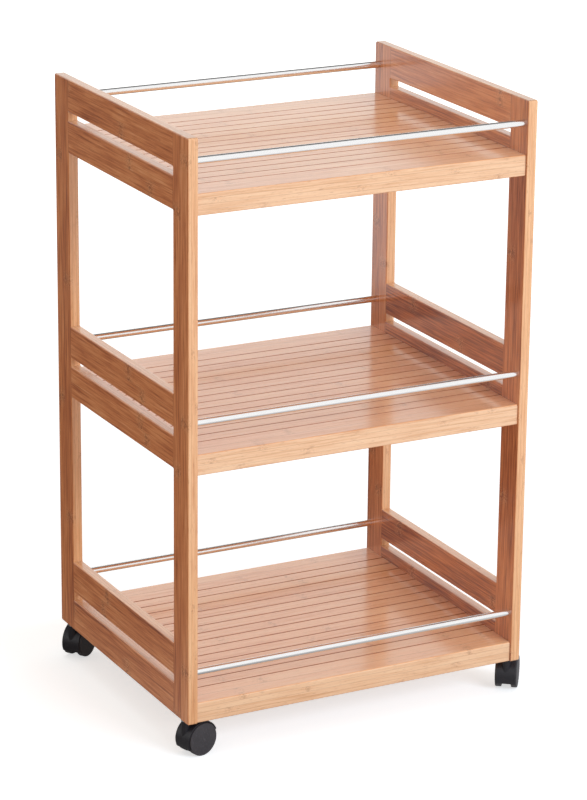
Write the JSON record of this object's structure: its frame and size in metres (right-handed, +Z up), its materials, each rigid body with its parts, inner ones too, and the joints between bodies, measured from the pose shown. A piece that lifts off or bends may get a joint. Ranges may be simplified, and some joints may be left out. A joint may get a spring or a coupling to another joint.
{
  "type": "rolling cart",
  "caption": "Tiered rolling cart with ladder side frames of bamboo, grooved shelves, round steel guard bars and hooded twin-wheel swivel casters.",
  "frame": {"origin": "on the floor, under the middle of the two side frames; the trailing casters reach a little further to the right and back than to the left and front", "axes": "+Z up; +X to the right seen from the front; -Y is the front, where the front guard bars are"},
  "size_m": [0.5389, 0.4258, 0.832],
  "materials": {
    "bamboo": "satin clear lacquer over fine vertical-laminated bamboo grain",
    "dowel_wood": "raw beech dowel",
    "bar_steel": "satin stainless tube, fine lengthwise brushing",
    "zinc_steel": "bright zinc plated steel",
    "hood_plastic": "fine-grained black moulded plastic",
    "wheel_plastic": "smooth black moulded plastic"
  },
  "bodies": {
    "cart": {"left_front_stile": "bamboo", "left_back_stile": "bamboo", "left_bottom_lower_rail": "bamboo", "left_bottom_upper_rail": "bamboo", "left_middle_lower_rail": "bamboo", "left_middle_upper_rail": "bamboo", "left_top_lower_rail": "bamboo", "left_top_upper_rail": "bamboo", "right_front_stile": "bamboo", "right_back_stile": "bamboo", "right_bottom_lower_rail": "bamboo", "right_bottom_upper_rail": "bamboo", "right_middle_lower_rail": "bamboo", "right_middle_upper_rail": "bamboo", "right_top_lower_rail": "bamboo", "right_top_upper_rail": "bamboo", "bottom_shelf_panel": "bamboo", "bottom_shelf_front_edge": "bamboo", "bottom_shelf_back_edge": "bamboo", "bottom_shelf_left_batten": "bamboo", "bottom_shelf_right_batten": "bamboo", "bottom_front_bar": "bar_steel", "bottom_back_bar": "bar_steel", "middle_shelf_panel": "bamboo", "middle_shelf_front_edge": "bamboo", "middle_shelf_back_edge": "bamboo", "middle_shelf_left_batten": "bamboo", "middle_shelf_right_batten": "bamboo", "middle_front_bar": "bar_steel", "middle_back_bar": "bar_steel", "top_shelf_panel": "bamboo", "top_shelf_front_edge": "bamboo", "top_shelf_back_edge": "bamboo", "top_shelf_left_batten": "bamboo", "top_shelf_right_batten": "bamboo", "top_front_bar": "bar_steel", "top_back_bar": "bar_steel", "frame_dowels": "dowel_wood", "shelf_screws": "zinc_steel", "caster_inserts": "zinc_steel", "front_left_caster_stem": "zinc_steel", "back_left_caster_stem": "zinc_steel", "front_right_caster_stem": "zinc_steel", "back_right_caster_stem": "zinc_steel"},
    "front_left_caster": {"front_left_caster_hood": "hood_plastic", "front_left_caster_axle": "zinc_steel"},
    "front_left_caster_left_wheel": {"front_left_caster_left_wheel": "wheel_plastic"},
    "front_left_caster_right_wheel": {"front_left_caster_right_wheel": "wheel_plastic"},
    "back_left_caster": {"back_left_caster_hood": "hood_plastic", "back_left_caster_axle": "zinc_steel"},
    "back_left_caster_left_wheel": {"back_left_caster_left_wheel": "wheel_plastic"},
    "back_left_caster_right_wheel": {"back_left_caster_right_wheel": "wheel_plastic"},
    "front_right_caster": {"front_right_caster_hood": "hood_plastic", "front_right_caster_axle": "zinc_steel"},
    "front_right_caster_left_wheel": {"front_right_caster_left_wheel": "wheel_plastic"},
    "front_right_caster_right_wheel": {"front_right_caster_right_wheel": "wheel_plastic"},
    "back_right_caster": {"back_right_caster_hood": "hood_plastic", "back_right_caster_axle": "zinc_steel"},
    "back_right_caster_left_wheel": {"back_right_caster_left_wheel": "wheel_plastic"},
    "back_right_caster_right_wheel": {"back_right_caster_right_wheel": "wheel_plastic"}
  },
  "joints": [
    {"name": "front_left_swivel", "type": "hinge", "parent": "cart", "child": "front_left_caster", "pos_m": [-0.243, -0.183, 0.052], "axis": [0, 0, 1], "continuous": true},
    {"name": "front_left_left_wheel_spin", "type": "hinge", "parent": "front_left_caster", "child": "front_left_caster_left_wheel", "pos_m": [-0.22561, -0.17834, 0.0225], "axis": [0.2588, -0.9659, 0], "continuous": true},
    {"name": "front_left_right_wheel_spin", "type": "hinge", "parent": "front_left_caster", "child": "front_left_caster_right_wheel", "pos_m": [-0.22561, -0.17834, 0.0225], "axis": [0.2588, -0.9659, 0], "continuous": true},
    {"name": "back_left_swivel", "type": "hinge", "parent": "cart", "child": "back_left_caster", "pos_m": [-0.243, 0.183, 0.052], "axis": [0, 0, 1], "continuous": true},
    {"name": "back_left_left_wheel_spin", "type": "hinge", "parent": "back_left_caster", "child": "back_left_caster_left_wheel", "pos_m": [-0.22826, 0.19332, 0.0225], "axis": [0.5736, -0.8192, 0], "continuous": true},
    {"name": "back_left_right_wheel_spin", "type": "hinge", "parent": "back_left_caster", "child": "back_left_caster_right_wheel", "pos_m": [-0.22826, 0.19332, 0.0225], "axis": [0.5736, -0.8192, 0], "continuous": true},
    {"name": "front_right_swivel", "type": "hinge", "parent": "cart", "child": "front_right_caster", "pos_m": [0.243, -0.183, 0.052], "axis": [0, 0, 1], "continuous": true},
    {"name": "front_right_left_wheel_spin", "type": "hinge", "parent": "front_right_caster", "child": "front_right_caster_left_wheel", "pos_m": [0.25383, -0.16862, 0.0225], "axis": [0.7986, -0.6018, 0], "continuous": true},
    {"name": "front_right_right_wheel_spin", "type": "hinge", "parent": "front_right_caster", "child": "front_right_caster_right_wheel", "pos_m": [0.25383, -0.16862, 0.0225], "axis": [0.7986, -0.6018, 0], "continuous": true},
    {"name": "back_right_swivel", "type": "hinge", "parent": "cart", "child": "back_right_caster", "pos_m": [0.243, 0.183, 0.052], "axis": [0, 0, 1], "continuous": true},
    {"name": "back_right_left_wheel_spin", "type": "hinge", "parent": "back_right_caster", "child": "back_right_caster_left_wheel", "pos_m": [0.25638, 0.19504, 0.0225], "axis": [0.6691, -0.7431, 0], "continuous": true},
    {"name": "back_right_right_wheel_spin", "type": "hinge", "parent": "back_right_caster", "child": "back_right_caster_right_wheel", "pos_m": [0.25638, 0.19504, 0.0225], "axis": [0.6691, -0.7431, 0], "continuous": true}
  ]
}
